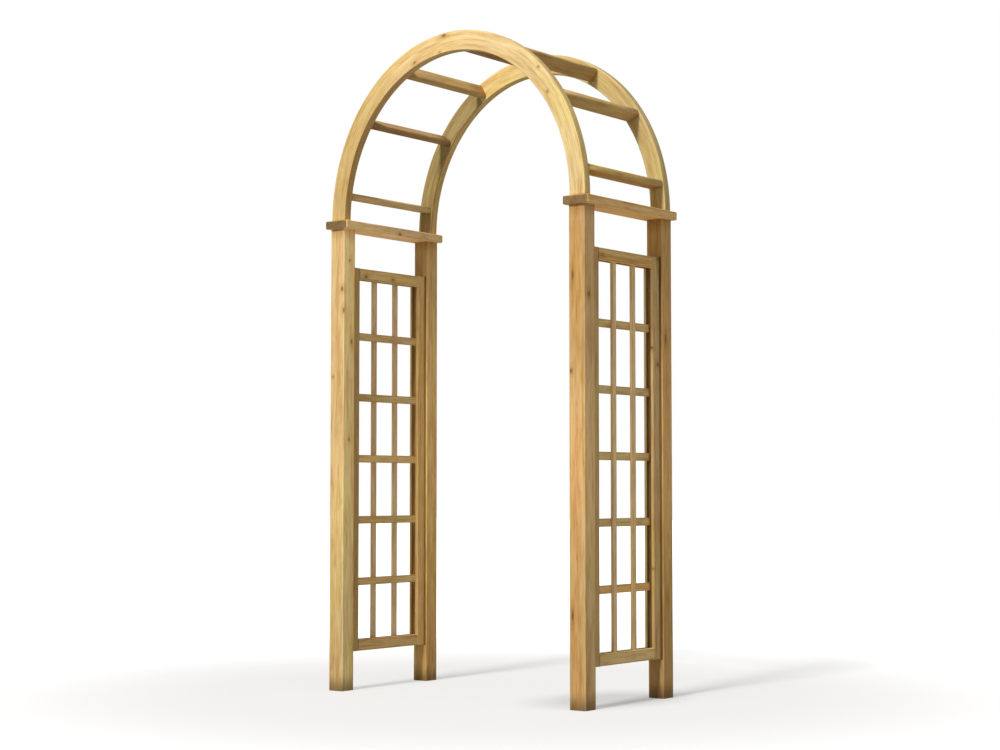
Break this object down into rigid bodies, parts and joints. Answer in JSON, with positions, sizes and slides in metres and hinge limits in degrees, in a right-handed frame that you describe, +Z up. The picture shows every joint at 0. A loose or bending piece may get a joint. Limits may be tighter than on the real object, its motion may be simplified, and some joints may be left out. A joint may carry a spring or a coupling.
{
  "type": "garden arch",
  "caption": "Round-top timber garden arch with square posts, framed lattice side panels, cap boards and rungs between two curved bows.",
  "frame": {"origin": "on the ground, midway between the four posts", "axes": "+X to the right across the passage, +Y from the front to the back, +Z up"},
  "size_m": [1.379, 0.671, 2.765],
  "materials": {
    "post_timber": "planed pressure-treated softwood, unpainted",
    "cap_timber": "planed pressure-treated softwood, unpainted",
    "bow_timber": "planed pressure-treated softwood, unpainted",
    "rung_timber": "planed pressure-treated softwood, unpainted",
    "frame_timber": "planed pressure-treated softwood, unpainted",
    "lath_timber": "fine-sawn pressure-treated softwood laths",
    "dowel_timber": "turned hardwood dowel",
    "screw_steel": "zinc-plated steel"
  },
  "bodies": {
    "root": {"post_front_left": "post_timber", "post_back_left": "post_timber", "post_front_right": "post_timber", "post_back_right": "post_timber", "cap_left": "cap_timber", "cap_right": "cap_timber", "bow_front": "bow_timber", "bow_back": "bow_timber", "rung_1": "rung_timber", "rung_2": "rung_timber", "rung_3": "rung_timber", "rung_4": "rung_timber", "rung_5": "rung_timber", "rung_6": "rung_timber", "rung_7": "rung_timber", "stile_front_left": "frame_timber", "stile_back_left": "frame_timber", "rail_bottom_left": "frame_timber", "rail_top_left": "frame_timber", "crossbar_1_left": "lath_timber", "crossbar_2_left": "lath_timber", "crossbar_3_left": "lath_timber", "crossbar_4_left": "lath_timber", "crossbar_5_left": "lath_timber", "upright_front_left": "lath_timber", "upright_back_left": "lath_timber", "stile_front_right": "frame_timber", "stile_back_right": "frame_timber", "rail_bottom_right": "frame_timber", "rail_top_right": "frame_timber", "crossbar_1_right": "lath_timber", "crossbar_2_right": "lath_timber", "crossbar_3_right": "lath_timber", "crossbar_4_right": "lath_timber", "crossbar_5_right": "lath_timber", "upright_front_right": "lath_timber", "upright_back_right": "lath_timber", "cap_screws": "screw_steel", "panel_screws": "screw_steel", "lath_pins": "screw_steel", "bow_dowels": "dowel_timber", "rung_dowels": "dowel_timber"}
  },
  "joints": []
}
